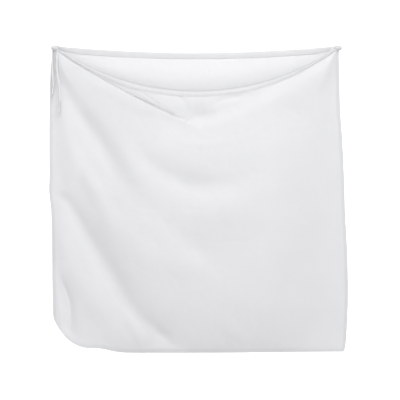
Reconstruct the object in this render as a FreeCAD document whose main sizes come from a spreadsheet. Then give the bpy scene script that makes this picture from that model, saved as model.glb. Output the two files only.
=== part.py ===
import FreeCAD, Part
import math
import os

import Sketcher

# A square mesh laundry bag with a drawstring, hanging open by its two top corners.
# Millimetres. The origin is the left hanging corner, +X runs to the right corner, -Y is the
# front and +Z is up. The back panel hangs flat, and the front panel bellies forward of it.

os.makedirs("parts", exist_ok=True)
Vector = FreeCAD.Vector
doc = FreeCAD.newDocument("mesh_laundry_bag")

SIZES = [
    ("corner_span", 570, "between the two hanging corners"),
    ("bag_height", 610, "from the corners down to the bottom seam"),
    ("side_overhang", 8, "the left edge stands this far outside its corner"),
    ("right_overhang", 1, "the right edge stands this far outside its corner at the top"),
    ("right_flare", 18, "the right edge leans out by this much at the bottom"),
    ("side_top", 16, "the side seams start this far below the corners"),
    ("corner_round", 65, "radius of the rounded bottom left corner"),
    ("cloth", 0.5, "thickness of the knitted mesh"),
    ("seam_width", 8, "width of the seam allowance inside the bag"),
    ("seam_thick", 1.2, "the allowance's two layers, which part the panels"),
    ("overlock_width", 1.0, "thread wrapped round the allowance's raw edge"),
    ("back_sag", 14, "dip of the back hem between the corners"),
    ("front_sag", 93, "dip of the front hem between the corners"),
    ("front_tilt", 15, "degrees that the hanging front hem stands forward"),
    ("front_offset", 5.4, "the front casing hangs this far before the corners"),
    ("casing_depth", 13, "height of the hem casing that holds the drawstring"),
    ("casing_thick", 5, "the casing's outer thickness over the drawstring"),
    ("casing_wall", 0.4, "cloth of the casing"),
    ("back_inset", 13, "the back casing ends this far inside the corners"),
    ("front_inset", 20, "the front casing ends this far inside the corners"),
    ("rim_gap", 0.5, "clearance under the casing that swings with the mouth"),
    ("thread", 0.3, "how far a row of stitching stands proud"),
    ("stitch_height", 0.6, "width of a row of stitching"),
    ("stitch_margin", 1.2, "from the casing's lower edge up to its stitching"),
    ("end_width", 18, "the bunched casing end at each corner, along X"),
    ("end_depth", 12, "the same, front to back"),
    ("end_rise", 4, "how far it stands above the corner"),
    ("end_drop", 8, "how far it reaches below the corner"),
    ("end_gap", 1, "between the back casing and its bunched end"),
    ("end_round", 2.5, "rounding of the bunched casing end"),
    ("bartack_length", 9, "dense bar of stitches across each casing end"),
    ("bartack_height", 2, "width of that bar"),
    ("cord_radius", 1.8, "the drawstring's radius"),
    ("knot_radius", 3.9, "the overhand knot near each end of the drawstring"),
    ("knot_length", 8.5, "the knot, along the drawstring"),
    ("knot_round", 2, "rounding of the knot"),
    ("body_gap", 0.3, "clearance between pieces that move past each other"),
    ("cut_margin", 1, "how far a cutting shape reaches past the cloth"),
]
sheet = doc.addObject("Spreadsheet::Sheet", "Size")
for row, (alias, number, meaning) in enumerate(SIZES, 1):
    sheet.set(f"A{row}", alias)
    sheet.set(f"B{row}", str(number))
    sheet.set(f"C{row}", meaning)
    sheet.setAlias(f"B{row}", alias)
doc.recompute()

# Depth of the front panel's belly at each height, from the corners down to the bottom seam:
# the cowl fold under the mouth stands furthest forward.
BELLY = [(0, 30), (100, 38), (165, 56), (320, 44), (480, 26), (580, 9), (610, 2)]

# Expressions that several sub-parts share.
LEFT = "-Size.side_overhang"
BOTTOM = "-Size.bag_height"
SIDE_TOP = "-Size.side_top"
RIGHT_TOP = "(Size.corner_span + Size.right_overhang)"
ROUND_START = "(Size.corner_round - Size.bag_height)"
ROUND_END = f"({LEFT} + Size.corner_round)"
BACK_ARC = "((Size.corner_span ^ 2 / 4 + Size.back_sag ^ 2) / (2 * Size.back_sag))"
FRONT_ARC = "((Size.corner_span ^ 2 / 4 + Size.front_sag ^ 2) / (2 * Size.front_sag))"
TOWARDS_CENTRE = 1
AWAY_FROM_CENTRE = -1


def number(text):
    """The value of an expression on the sheet."""
    return float(sheet.evalExpression(text.replace("Size.", "")))


def right_edge(depth):
    """The leaning right edge's X at a depth below the corners, as an expression."""
    return f"({RIGHT_TOP} + Size.right_flare * ({depth}) / Size.bag_height)"


def new_body(label):
    body = doc.addObject("PartDesign::Body", label)
    body.Label = label
    return body


def origin_feature(body, role):
    return next(f for f in body.Origin.OriginFeatures if f.Role == role)


def new_sketch(body, name, role="XZ_Plane", height=None):
    """A sketch on one of the body's own planes, raised along its normal by an expression."""
    sketch = body.newObject("Sketcher::SketchObject", name)
    sketch.AttachmentSupport = [(origin_feature(body, role), "")]
    sketch.MapMode = "FlatFace"
    if height is not None:
        sketch.setExpression("AttachmentOffset.Base.z", height)
    return sketch


def turn_about_x(item, placement, angle):
    """Binds a placement's rotation to an angle about X."""
    item.setExpression(f"{placement}.Rotation.Angle", angle)
    for axis, share in zip("xyz", "100"):
        item.setExpression(f"{placement}.Rotation.Axis.{axis}", share)


def bind(sketch, constraint, expression):
    """Adds a constraint whose value stays bound to an expression."""
    index = sketch.addConstraint(constraint)
    sketch.setExpression(f"Constraints[{index}]", expression)


def draw_circle(sketch, x, y, radius):
    """A circle whose centre and radius are bound to expressions."""
    centre = Vector(number(x), number(y), 0)
    circle = Part.Circle(centre, Vector(0, 0, 1), number(radius))
    index = sketch.addGeometry(circle, False)
    bind(sketch, Sketcher.Constraint("DistanceX", -1, 1, index, 3, centre.x), x)
    bind(sketch, Sketcher.Constraint("DistanceY", -1, 1, index, 3, centre.y), y)
    bind(sketch, Sketcher.Constraint("Radius", index, circle.Radius), radius)


def arc_between(start, end, radius, side):
    """The arc from start to end whose centre is on the left (side 1) or the right (side -1)."""
    chord = end - start
    rise = math.sqrt(radius ** 2 - (chord.Length / 2) ** 2)
    normal = Vector(-chord.y, chord.x, 0).normalize()
    centre = (start + end) * 0.5 + normal * (side * rise)
    angles = [math.atan2(p.y - centre.y, p.x - centre.x) for p in (start, end)]
    if side < 0:
        angles.reverse()
    return Part.ArcOfCircle(Part.Circle(centre, Vector(0, 0, 1), radius), *angles)


def draw_outline(sketch, corners):
    """A closed outline. Each corner is a pair of expressions; a corner that starts an arc also
    has the arc's radius and the side its centre is on. Every value stays bound to the sheet."""
    points = [Vector(number(c[0]), number(c[1]), 0) for c in corners]
    edges = []
    for i, corner in enumerate(corners):
        start = points[i]
        end = points[(i + 1) % len(points)]
        if len(corner) == 2:
            edge = sketch.addGeometry(Part.LineSegment(start, end), False)
            edges.append((edge, 1, 2))
        else:
            arc = arc_between(start, end, number(corner[2]), corner[3])
            edge = sketch.addGeometry(arc, False)
            edges.append((edge, 1, 2) if corner[3] > 0 else (edge, 2, 1))
    for i, (edge, _, last) in enumerate(edges):
        following, first, _ = edges[(i + 1) % len(edges)]
        sketch.addConstraint(Sketcher.Constraint("Coincident", edge, last, following, first))
    for (edge, first, _), corner, point in zip(edges, corners, points):
        bind(sketch, Sketcher.Constraint("DistanceX", -1, 1, edge, first, point.x), corner[0])
        bind(sketch, Sketcher.Constraint("DistanceY", -1, 1, edge, first, point.y), corner[1])
        if len(corner) > 2:
            radius = Sketcher.Constraint("Radius", edge, number(corner[2]))
            bind(sketch, radius, corner[2])


def draw_rectangle(sketch, low_x, low_y, high_x, high_y):
    draw_outline(
        sketch, [(low_x, low_y), (high_x, low_y), (high_x, high_y), (low_x, high_y)]
    )


def pad(body, sketch, thickness, backwards=False):
    feature = body.newObject("PartDesign::Pad", f"{body.Label}_pad")
    feature.Profile = sketch
    feature.setExpression("Length", thickness)
    feature.Reversed = backwards
    body.Tip = feature
    return feature


def cut_through(body, sketch, name):
    feature = body.newObject("PartDesign::Pocket", name)
    feature.Profile = sketch
    feature.Type = "ThroughAll"
    feature.Midplane = True
    body.Tip = feature
    return feature


def place(body, x="0", y="0", z="0"):
    for axis, expression in zip("xyz", (x, y, z)):
        body.setExpression(f"Placement.Base.{axis}", expression)


# ------------------------------------------------------------------ panels and seams


def make_back_panel():
    """The flat back panel: sagging hem on top, rounded bottom left corner."""
    body = new_body("back_panel")
    sketch = new_sketch(body, "back_outline")
    draw_outline(
        sketch,
        [
            (LEFT, SIDE_TOP),
            (LEFT, ROUND_START, "Size.corner_round", TOWARDS_CENTRE),
            (ROUND_END, BOTTOM),
            (right_edge("Size.bag_height"), BOTTOM),
            (right_edge("Size.side_top"), SIDE_TOP),
            ("Size.corner_span", "0", BACK_ARC, AWAY_FROM_CENTRE),
            ("0", "0"),
        ],
    )
    pad(body, sketch, "Size.cloth", backwards=True)
    return body


def draw_crescent(sketch, depth, belly):
    """The front panel's section at one height: two arcs a cloth's thickness apart."""
    width = f"({right_edge(depth)} - ({LEFT}))"
    radius = f"(({width}) ^ 2 / 4 + ({belly}) ^ 2) / (2 * ({belly}))"
    inner = "-Size.seam_thick"
    outer = "-(Size.seam_thick + Size.cloth)"
    draw_outline(
        sketch,
        [
            (LEFT, outer, radius, TOWARDS_CENTRE),
            (right_edge(depth), outer),
            (right_edge(depth), inner, radius, AWAY_FROM_CENTRE),
            (LEFT, inner),
        ],
    )


def make_front_panel():
    """The front panel: a thin belly through crescent sections, cut along the tilted mouth."""
    body = new_body("front_panel")
    sections = []
    for level, (depth, belly) in enumerate(BELLY):
        section = new_sketch(body, f"belly_{level}", "XY_Plane", f"-({depth})")
        draw_crescent(section, str(depth), str(belly))
        sections.append(section)
    loft = body.newObject("PartDesign::AdditiveLoft", "belly")
    loft.Profile = sections[0]
    loft.Sections = sections[1:]
    body.Tip = loft

    mouth = new_sketch(body, "mouth_outline")
    turn_about_x(mouth, "AttachmentOffset", "-Size.front_tilt")
    rim = f"{FRONT_ARC} + Size.casing_depth + Size.rim_gap"
    draw_circle(mouth, "Size.corner_span / 2", f"{FRONT_ARC} - Size.front_sag", rim)
    cut_through(body, mouth, "mouth_cut")

    corner = new_sketch(body, "corner_outline")
    beyond_left = f"{LEFT} - Size.cut_margin"
    beyond_bottom = f"{BOTTOM} - Size.cut_margin"
    draw_outline(
        corner,
        [
            (beyond_left, ROUND_START, "Size.corner_round + Size.cut_margin", TOWARDS_CENTRE),
            (ROUND_END, beyond_bottom),
            (beyond_left, beyond_bottom),
        ],
    )
    cut_through(body, corner, "corner_cut")
    return body


def make_left_strip(label, outer, inner, thickness):
    """A strip along the left edge and its rounded corner, between two distances inside it."""
    body = new_body(label)
    sketch = new_sketch(body, f"{label}_outline")
    outer_round = f"Size.corner_round - ({outer})"
    inner_round = f"Size.corner_round - ({inner})"
    draw_outline(
        sketch,
        [
            (f"{LEFT} + {outer}", SIDE_TOP),
            (f"{LEFT} + {outer}", ROUND_START, outer_round, TOWARDS_CENTRE),
            (ROUND_END, f"{BOTTOM} + {outer}"),
            (ROUND_END, f"{BOTTOM} + {inner}", inner_round, AWAY_FROM_CENTRE),
            (f"{LEFT} + {inner}", ROUND_START),
            (f"{LEFT} + {inner}", SIDE_TOP),
        ],
    )
    pad(body, sketch, thickness)
    return body


def make_right_strip(label, outer, inner, thickness):
    """A strip along the leaning right edge, between two distances inside it."""
    body = new_body(label)
    sketch = new_sketch(body, f"{label}_outline")
    top = right_edge("Size.side_top")
    foot = right_edge("Size.bag_height")
    draw_outline(
        sketch,
        [
            (f"{foot} - ({inner})", BOTTOM),
            (f"{foot} - ({outer})", BOTTOM),
            (f"{top} - ({outer})", SIDE_TOP),
            (f"{top} - ({inner})", SIDE_TOP),
        ],
    )
    pad(body, sketch, thickness)
    return body


def make_bottom_strip(label, outer, inner, thickness):
    """A strip along the bottom, from the rounded corner to the right seam's allowance."""
    body = new_body(label)
    sketch = new_sketch(body, f"{label}_outline")
    right_end = f"{right_edge('Size.bag_height')} - 2 * Size.seam_width"
    draw_rectangle(
        sketch,
        ROUND_END,
        f"{BOTTOM} + {outer}",
        right_end,
        f"{BOTTOM} + {inner}",
    )
    pad(body, sketch, thickness)
    return body


def make_seams():
    """Each seam's allowance and the overlock thread round its raw edge, inside the bag."""
    strips = {
        "left_side": make_left_strip,
        "right_side": make_right_strip,
        "bottom": make_bottom_strip,
    }
    raw_edge = "Size.seam_width"
    thread_edge = "(Size.seam_width + Size.overlock_width)"
    bodies = []
    for edge, make_strip in strips.items():
        bodies.append(make_strip(f"{edge}_seam", "0", raw_edge, "Size.seam_thick"))
        overlock = f"{edge}_overlock"
        bodies.append(make_strip(overlock, raw_edge, thread_edge, "Size.seam_thick"))
    return bodies


# ------------------------------------------------------------------ hems along the mouth


def make_along_hem(label, front, draw_profile):
    """A body that follows the sagging back hem or the tilted front hem. Its profile is drawn on
    the body's YZ plane below the hem arc's centre, and turned about the body's Y axis."""
    arc = FRONT_ARC if front else BACK_ARC
    sag = "Size.front_sag" if front else "Size.back_sag"
    inset = "Size.front_inset" if front else "Size.back_inset"
    body = new_body(label)
    profile = new_sketch(body, f"{label}_profile", "YZ_Plane")
    draw_profile(profile, arc)
    turn = body.newObject("PartDesign::Revolution", f"{label}_turn")
    turn.Profile = profile
    turn.ReferenceAxis = (origin_feature(body, "Y_Axis"), [""])
    turn.Midplane = True
    turn.setExpression("Angle", f"2 * asin((Size.corner_span / 2 - {inset}) / {arc})")
    body.Tip = turn
    rise = f"({arc} - {sag})"
    if front:
        turn_about_x(body, "Placement", "-Size.front_tilt")
        tilted_y = f"-Size.front_offset * cos(Size.front_tilt) + {rise} * sin(Size.front_tilt)"
        tilted_z = f"Size.front_offset * sin(Size.front_tilt) + {rise} * cos(Size.front_tilt)"
        place(body, "Size.corner_span / 2", tilted_y, tilted_z)
    else:
        place(body, "Size.corner_span / 2", "0", rise)
    return body


def draw_casing(sketch, arc):
    """The folded hem: a flat tube of cloth, round the drawstring."""
    front_face = "-Size.casing_thick"
    lower = f"-({arc} + Size.casing_depth)"
    upper = f"-{arc}"
    wall = "Size.casing_wall"
    draw_rectangle(sketch, front_face, lower, "0", upper)
    draw_rectangle(
        sketch,
        f"{front_face} + {wall}",
        f"{lower} + {wall}",
        f"-{wall}",
        f"{upper} - {wall}",
    )


def draw_hem_stitching(sketch, arc):
    """A row of thread on the casing's front face, just above its lower edge."""
    face = "-Size.casing_thick"
    foot = f"-({arc} + Size.casing_depth - Size.stitch_margin)"
    draw_rectangle(
        sketch, f"{face} - Size.thread", foot, face, f"{foot} + Size.stitch_height"
    )


def draw_cord_section(sketch, arc):
    """The drawstring's round section, in the middle of the casing."""
    middle = f"-({arc} + Size.casing_depth / 2)"
    draw_circle(sketch, "-Size.casing_thick / 2", middle, "Size.cord_radius")


def make_hems():
    bodies = []
    for side, front in (("back", False), ("front", True)):
        bodies.append(make_along_hem(f"{side}_casing", front, draw_casing))
        bodies.append(make_along_hem(f"{side}_hem_stitching", front, draw_hem_stitching))
        bodies.append(make_along_hem(f"drawstring_{side}_run", front, draw_cord_section))
    return bodies


# ------------------------------------------------------------------ corners


def make_casing_end(side, start_x):
    """The casing's bunched end at a hanging corner, which the drawstring comes out of."""
    label = f"{side}_casing_end"
    body = new_body(label)
    sketch = new_sketch(body, f"{label}_outline")
    draw_rectangle(
        sketch, start_x, "-Size.end_drop", f"{start_x} + Size.end_width", "Size.end_rise"
    )
    block = pad(body, sketch, "Size.end_depth")
    doc.recompute()
    softened = body.newObject("PartDesign::Fillet", f"{label}_rounding")
    softened.Base = (block, [""])
    softened.UseAllEdges = True
    softened.setExpression("Radius", "Size.end_round")
    body.Tip = softened
    return body


def make_bartack(side, start_x):
    """A bar of dense zigzag stitches on the front of the casing end."""
    label = f"{side}_bartack"
    body = new_body(label)
    sketch = new_sketch(body, f"{label}_outline")
    low_x = f"{start_x} + (Size.end_width - Size.bartack_length) / 2"
    draw_rectangle(
        sketch,
        low_x,
        "-Size.bartack_height",
        f"{low_x} + Size.bartack_length",
        "0",
    )
    pad(body, sketch, "Size.thread")
    place(body, y="-Size.end_depth")
    return body


def make_corners():
    left_start = "Size.back_inset - Size.end_gap - Size.end_width"
    right_start = "Size.corner_span - Size.back_inset + Size.end_gap"
    bodies = []
    for side, start_x in (("left", left_start), ("right", right_start)):
        bodies.append(make_casing_end(side, start_x))
        bodies.append(make_bartack(side, start_x))
    return bodies


# ------------------------------------------------------------------ drawstring tails

# Both ends of the drawstring leave the left casing end side by side and hang down over the
# front. Each route runs from the exit to the knot, and each end runs on below the knot.
EXIT_Z = -number("Size.end_drop + Size.body_gap")
LEFT_ROUTE = [(-3.4, -6.5, EXIT_Z), (-3.7, -7.8, -26), (-2.9, -8.8, -48), (-1.4, -9.4, -69.5)]
LEFT_END = [(-1.4, -9.4, -78.6), (-2.0, -9.5, -87), (-3.6, -9.6, -95)]
RIGHT_ROUTE = [
    (6.5, -9.0, EXIT_Z),
    (6.1, -12.0, -29),
    (6.6, -14.4, -50),
    (9.6, -15.6, -68),
    (12.3, -16.2, -84),
    (12.9, -16.4, -100.5),
]
RIGHT_END = [(12.9, -16.4, -109.6), (12.3, -16.5, -120), (9.9, -16.6, -131)]
ARC_SHARE = 0.45


def cord_path(label, route):
    """Straight runs joined by tangent arcs as large as the two runs beside them allow."""
    points = [Vector(*p) for p in route]
    edges = []
    start = points[0]
    for before, corner, after in zip(points, points[1:], points[2:]):
        arriving = (corner - before).normalize()
        leaving = (after - corner).normalize()
        turn = arriving.getAngle(leaving)
        reach = ARC_SHARE * min((corner - before).Length, (after - corner).Length)
        radius = reach / math.tan(turn / 2)
        arc_start = corner - arriving * reach
        arc_end = corner + leaving * reach
        bisector = (leaving - arriving).normalize()
        middle = corner + bisector * (radius / math.cos(turn / 2) - radius)
        edges.append(Part.LineSegment(start, arc_start).toShape())
        edges.append(Part.Arc(arc_start, middle, arc_end).toShape())
        print(f"{label}: turn {math.degrees(turn):.1f} degrees, arc radius {radius:.1f} mm")
        start = arc_end
    edges.append(Part.LineSegment(start, points[-1]).toShape())
    return Part.Wire(edges)


def make_cord(label, route):
    """A round cord swept along its route, from a circle bound to the cord's radius."""
    wire = cord_path(label, route)
    spine = doc.addObject("Part::Feature", f"{label}_path")
    spine.Shape = wire
    section = doc.addObject("Part::Circle", f"{label}_section")
    section.setExpression("Radius", "Size.cord_radius")
    direction = Vector(*route[1]) - Vector(*route[0])
    turned = FreeCAD.Rotation(Vector(0, 0, 1), direction)
    section.Placement = FreeCAD.Placement(Vector(*route[0]), turned)
    cord = doc.addObject("Part::Sweep", label)
    cord.Label = label
    cord.Sections = [section]
    cord.Spine = (spine, [f"Edge{i + 1}" for i in range(len(wire.Edges))])
    cord.Solid = True
    cord.Frenet = False
    doc.recompute()
    ideal = math.pi * number("Size.cord_radius") ** 2 * wire.Length
    print(f"{label}: length {wire.Length:.1f} mm, volume {cord.Shape.Volume / ideal:.4f} of ideal")
    return cord


def make_knot(label, top):
    """An overhand knot's outer shape: a rounded barrel round the cord."""
    barrel = doc.addObject("Part::Cylinder", f"{label}_barrel")
    barrel.setExpression("Radius", "Size.knot_radius")
    barrel.setExpression("Height", "Size.knot_length")
    barrel.Placement.Base = Vector(top[0], top[1], top[2])
    barrel.setExpression("Placement.Base.z", f"{top[2]} - Size.body_gap - Size.knot_length")
    doc.recompute()
    knot = doc.addObject("Part::Fillet", label)
    knot.Label = label
    knot.Base = barrel
    rounding = number("Size.knot_round")
    rims = [i + 1 for i, edge in enumerate(barrel.Shape.Edges) if edge.Closed]
    knot.Edges = [(i, rounding, rounding) for i in rims]
    return knot


def make_tails():
    tails = {"left": (LEFT_ROUTE, LEFT_END), "right": (RIGHT_ROUTE, RIGHT_END)}
    pieces = []
    for side, (route, end) in tails.items():
        pieces.append(make_cord(f"{side}_tail_cord", route))
        pieces.append(make_knot(f"{side}_tail_knot", route[-1]))
        pieces.append(make_cord(f"{side}_tail_end", end))
    return pieces


# ------------------------------------------------------------------ checks and export

subparts = [make_back_panel(), make_front_panel()]
subparts += make_seams()
subparts += make_hems()
subparts += make_corners()
subparts += make_tails()
doc.recompute()

for item in doc.Objects:
    if "Invalid" in item.State or "Error" in item.State:
        raise RuntimeError(f"{item.Name} failed: {item.State}")
for piece in subparts:
    if piece.Shape.isNull() or not piece.Shape.isValid() or not piece.Shape.Solids:
        raise RuntimeError(f"{piece.Label} has no valid solid")
for piece in subparts:
    piece.Shape.exportStep(os.path.join("parts", f"{piece.Label}.step"))
    box = piece.Shape.BoundBox
    print(
        f"{piece.Label}: X {box.XMin:.1f} {box.XMax:.1f}, Y {box.YMin:.1f} {box.YMax:.1f}, "
        f"Z {box.ZMin:.1f} {box.ZMax:.1f}, {piece.Shape.Volume:.0f} mm3"
    )
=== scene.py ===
import math

import bpy
import numpy as np
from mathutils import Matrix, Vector


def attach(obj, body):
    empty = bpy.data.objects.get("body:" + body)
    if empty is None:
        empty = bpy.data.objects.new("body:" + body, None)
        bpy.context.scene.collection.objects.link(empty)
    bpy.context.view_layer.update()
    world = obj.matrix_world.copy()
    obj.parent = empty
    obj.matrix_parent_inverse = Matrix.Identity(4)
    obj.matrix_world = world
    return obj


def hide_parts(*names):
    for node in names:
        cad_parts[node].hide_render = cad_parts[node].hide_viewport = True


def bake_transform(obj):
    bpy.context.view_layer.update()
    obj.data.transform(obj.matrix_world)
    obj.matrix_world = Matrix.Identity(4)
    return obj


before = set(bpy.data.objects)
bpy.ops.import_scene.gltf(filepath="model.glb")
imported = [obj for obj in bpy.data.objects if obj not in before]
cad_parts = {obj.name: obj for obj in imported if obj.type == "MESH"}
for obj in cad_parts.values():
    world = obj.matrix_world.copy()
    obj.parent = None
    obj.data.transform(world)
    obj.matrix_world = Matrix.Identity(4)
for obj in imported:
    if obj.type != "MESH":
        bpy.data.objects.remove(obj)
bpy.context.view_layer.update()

# A square mesh laundry bag hung by its two top corners. Lengths are in millimetres until a mesh
# is made. Depth means how far a point stands forward of the back panel, towards -Y.
MM = 0.001
CLOTH = 0.5
TURN = 2 * math.pi

# The hems hang in arcs between the corners. The front one is tilted forward about the line
# through them, and stands an offset in front of it. The back one's top edge is lifted a little.
SPAN = 570.0
CENTRE_X = SPAN / 2
BACK_SAG = 14.0
FRONT_SAG = 93.0
FRONT_TILT = math.radians(15)
FRONT_OFFSET = 5.4
CASING_DEPTH = 13.0
BACK_LIFT = 3.2
BACK_RADIUS = (CENTRE_X ** 2 + BACK_SAG ** 2) / (2 * BACK_SAG)
FRONT_RADIUS = (CENTRE_X ** 2 + FRONT_SAG ** 2) / (2 * FRONT_SAG)


# ------ small tools


def smoothstep(low, high, value):
    t = np.clip((value - low) / (high - low), 0, 1)
    return t * t * (3 - 2 * t)


def spline_through(points, steps):
    """Catmull-Rom points through a line of points, with every column treated alike."""
    line = np.array(points, float)
    line = np.vstack([2 * line[0] - line[1], line, 2 * line[-1] - line[-2]])
    pieces = []
    t = np.linspace(0, 1, steps, endpoint=False)[:, None]
    for a, b, c, d in zip(line, line[1:], line[2:], line[3:]):
        pieces.append(
            0.5 * (2 * b + (c - a) * t + (2 * a - 5 * b + 4 * c - d) * t ** 2
                   + (3 * b - a - 3 * c + d) * t ** 3)
        )
    return np.vstack(pieces + [line[-2][None]])


def through(points, value):
    """A smooth curve's result at a value: points are (value, result) pairs."""
    fine = spline_through(points, 12)
    order = np.argsort(fine[:, 0])
    return np.interp(value, fine[order, 0], fine[order, 1])


def waves(seed, length, shortest, longest, count=14):
    """A smooth random function of a distance, from -1 to 1, with waves of those lengths."""
    rng = np.random.default_rng(seed)
    lengths = np.geomspace(shortest, longest, count)
    phases = rng.uniform(0, TURN, count)
    sizes = rng.uniform(0.5, 1, count) * (lengths / longest) ** 0.35
    total = sum(s * np.sin(TURN * length / w + p) for s, w, p in zip(sizes, lengths, phases))
    return total / (sizes.sum() * 0.55)


def make_piece(name, points, faces, uvs=None, smooth=True):
    """A mesh object from points in millimetres. uvs holds a pair for each point."""
    mesh = bpy.data.meshes.new(name)
    places = np.reshape(points, (-1, 3)) * MM
    mesh.from_pydata(places.tolist(), [], [list(f) for f in faces])
    mesh.validate()
    if uvs is not None:
        layer = mesh.uv_layers.new(name="UVMap")
        corners = np.zeros(len(mesh.loops), int)
        mesh.loops.foreach_get("vertex_index", corners)
        pairs = np.reshape(uvs, (-1, 2))
        layer.data.foreach_set("uv", pairs[corners].astype(np.float32).ravel())
    mesh.polygons.foreach_set("use_smooth", [smooth] * len(mesh.polygons))
    mesh.update()
    piece = bpy.data.objects.new(name, mesh)
    bpy.context.scene.collection.objects.link(piece)
    return piece


def grid_faces(rows, columns, first=0, wrap=False, flip=False):
    """Quads of a grid stored row by row. With wrap, its last column joins its first."""
    last = columns if wrap else columns - 1
    faces = []
    for r in range(rows - 1):
        for c in range(last):
            d = (c + 1) % columns
            quad = (
                first + r * columns + c,
                first + r * columns + d,
                first + (r + 1) * columns + d,
                first + (r + 1) * columns + c,
            )
            faces.append(quad[::-1] if flip else quad)
    return faces


def tube_faces(rows, columns, first=0, flip=False):
    """The sides and the two ends of a closed tube stored ring by ring, all facing one way.
    Without flip that is outwards, when the rings turn anticlockwise seen from the far end."""
    start = list(range(first, first + columns))
    end = [i + (rows - 1) * columns for i in start]
    ends = [start, end[::-1]] if flip else [start[::-1], end]
    return grid_faces(rows, columns, first, wrap=True, flip=flip) + ends


def ring_uvs(along, around):
    """A tube's UV pairs, from a column of lengths along it and a row of places round it."""
    return np.stack(np.broadcast_arrays(along * MM, around), 2)


def grid_normals(points):
    """Unit normals of a grid of points, shape (rows, columns, 3)."""
    down = np.gradient(points, axis=0)
    across = np.gradient(points, axis=1)
    normal = np.cross(down, across)
    return normal / np.linalg.norm(normal, axis=2, keepdims=True)


def mark(piece, name, values):
    """A number for each point, which the piece's material reads."""
    attribute = piece.data.attributes.new(name, "FLOAT", "POINT")
    attribute.data.foreach_set("value", np.asarray(values, np.float32))


def finish_piece(piece, body, slot, material, *nodes):
    """Gives a piece its material, hides the CAD nodes it stands for and parents it to the body it
    rides. The slot argument is not used.
    """
    piece.data.materials.append(material)
    if nodes:
        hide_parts(*nodes)
    if body:
        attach(piece, body)
    return piece


# ------ materials


class Nodes:
    """Short ways to add and join a material's shader nodes."""

    def __init__(self, name):
        self.material = bpy.data.materials.new(name)
        self.material.use_nodes = True
        self.tree = self.material.node_tree
        self.shader = self.tree.nodes["Principled BSDF"]

    def add(self, kind, **inputs):
        node = self.tree.nodes.new(kind)
        for key, value in inputs.items():
            self.feed(node.inputs[key.replace("_", " ")], value)
        return node

    def feed(self, socket, value):
        if isinstance(value, bpy.types.NodeSocket):
            self.tree.links.new(value, socket)
        else:
            socket.default_value = value

    def set(self, name, value):
        self.feed(self.shader.inputs[name], value)

    def math(self, operation, *values):
        node = self.tree.nodes.new("ShaderNodeMath")
        node.operation = operation
        for socket, value in zip(node.inputs, values):
            self.feed(socket, value)
        return node.outputs[0]

    def mix(self, share, low, high):
        node = self.tree.nodes.new("ShaderNodeMix")
        node.data_type = "RGBA"
        self.feed(node.inputs["Factor"], share)
        self.feed(node.inputs["A"], low)
        self.feed(node.inputs["B"], high)
        return node.outputs["Result"]

    def noise(self, vector, scale, detail=3.0, rough=0.5):
        node = self.add("ShaderNodeTexNoise", Vector=vector, Scale=scale, Detail=detail)
        node.inputs["Roughness"].default_value = rough
        return node.outputs["Fac"]

    def bump(self, height, distance, strength=1.0, below=None):
        node = self.add("ShaderNodeBump", Height=height, Distance=distance, Strength=strength)
        if below is not None:
            self.feed(node.inputs["Normal"], below)
        return node.outputs["Normal"]


def rgba(colour):
    return (*colour, 1.0)


# The share of light that the cloth lets through.
TRANSLUCENCY = 0.33
# The braid's strands repeat along the drawstring at this length.
BRAID_PITCH = 4.2
# The sizes of the cloth's surface noises, in waves per metre: patches of uneven whiteness,
# crinkles and single fibres. And how deep the knitting's relief is, in metres.
PATCHES = 14.0
CRINKLES = 90.0
FIBRES = 2600.0
KNIT_RELIEF = 0.00012


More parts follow.
